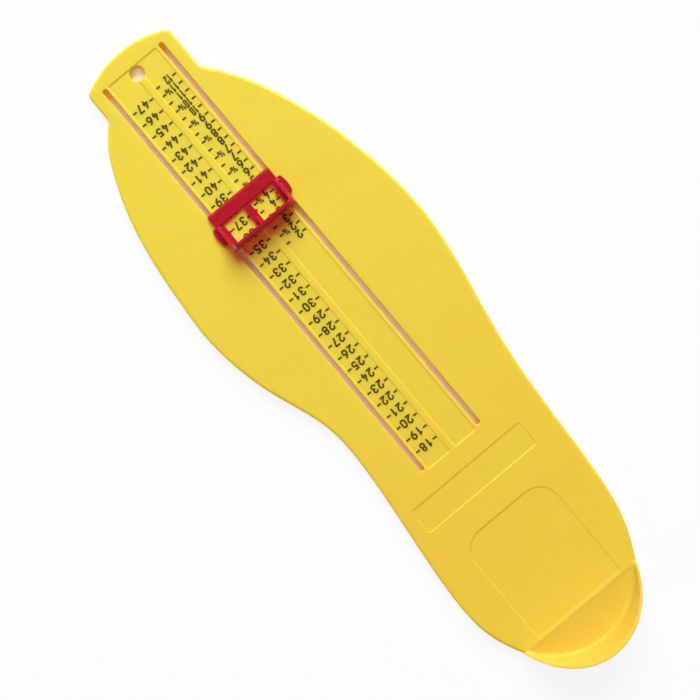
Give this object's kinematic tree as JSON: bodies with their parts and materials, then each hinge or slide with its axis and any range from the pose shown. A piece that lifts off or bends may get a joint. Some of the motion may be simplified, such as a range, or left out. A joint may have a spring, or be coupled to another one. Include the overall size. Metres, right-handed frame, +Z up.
{
  "type": "foot measuring device",
  "caption": "Foot-shaped plate with a heel cup, printed shoe size scales and a toe slider that runs in parallel slots.",
  "frame": {"origin": "middle of the plate's outline box, on the table that the plate lies on", "axes": "+X across the plate, +Y along it towards the heel cup, +Z up"},
  "size_m": [0.1094, 0.337, 0.026],
  "materials": {
    "yellow_plastic": "satin moulded",
    "red_plastic": "satin moulded",
    "scale_ink": "matt stamped ink"
  },
  "bodies": {
    "plate": {"base_plate": "yellow_plastic", "eu_figures": "scale_ink", "eu_ticks": "scale_ink", "uk_figures": "scale_ink", "uk_ticks": "scale_ink"},
    "slider": {"slider": "red_plastic"}
  },
  "joints": [
    {"name": "slider_slide", "type": "slide", "parent": "plate", "child": "slider", "axis": [0, 1, 0], "range_m": [-0.07288, 0.12687]}
  ]
}
